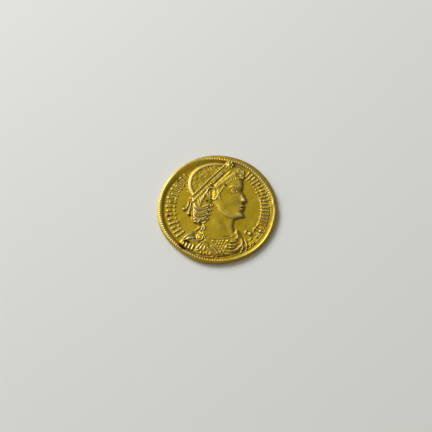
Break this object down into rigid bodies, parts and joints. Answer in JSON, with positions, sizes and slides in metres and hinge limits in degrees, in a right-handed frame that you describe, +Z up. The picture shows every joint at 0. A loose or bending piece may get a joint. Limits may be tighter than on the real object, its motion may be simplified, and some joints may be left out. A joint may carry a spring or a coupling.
{
  "type": "ancient gold coin",
  "caption": "Struck gold coin with a diademed bust in relief on one face and a laurel wreath on the other, for display, handling or a hoard.",
  "frame": {"origin": "middle of the underside, on the surface that the coin lies on", "axes": "+Z up out of the face with the bust; +Y from the bust's shoulders to its crown; +X the way that the bust looks"},
  "size_m": [0.0211, 0.021, 0.0011],
  "materials": {
    "gold": "worn, softly polished struck gold with dark dirt in its recesses"
  },
  "bodies": {
    "root": {"coin": "gold"}
  },
  "joints": []
}
